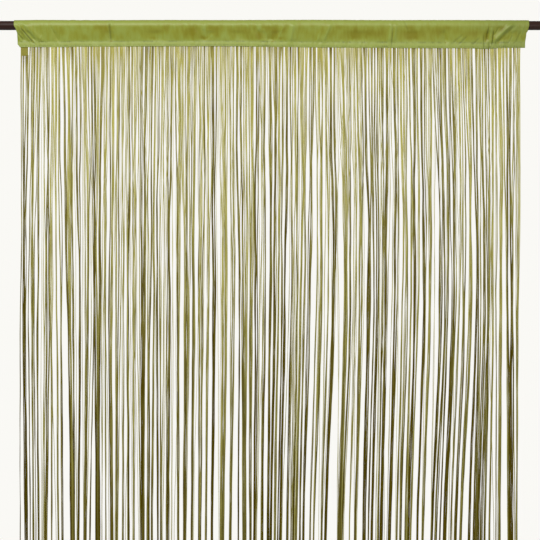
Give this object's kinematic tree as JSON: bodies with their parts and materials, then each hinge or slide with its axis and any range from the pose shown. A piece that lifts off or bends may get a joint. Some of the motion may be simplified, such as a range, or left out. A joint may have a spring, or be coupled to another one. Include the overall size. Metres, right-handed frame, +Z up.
{
  "type": "string curtain on a rod",
  "caption": "String curtain: a flat cloth heading with a rod pocket on a dark plain rod, with a fringe of long loose strands hanging in uneven bunches from a tape under the heading.",
  "frame": {"origin": "on the rod's axis, midway between the rod's ends", "axes": "+Z up, with the strands hanging towards -Z; +X along the rod to the viewer's right; +Y away from the viewer, who faces the heading's front wall"},
  "size_m": [1.1, 0.0211, 2.0083],
  "materials": {
    "rod": "dark brown paint, satin gloss",
    "heading": "moss green satin weave with a soft sheen, lightly creased",
    "strands": "khaki olive twisted yarn, matt with a slight silky sheen"
  },
  "bodies": {
    "root": {"rod": "rod", "heading": "heading", "fringe": "strands"}
  },
  "joints": []
}
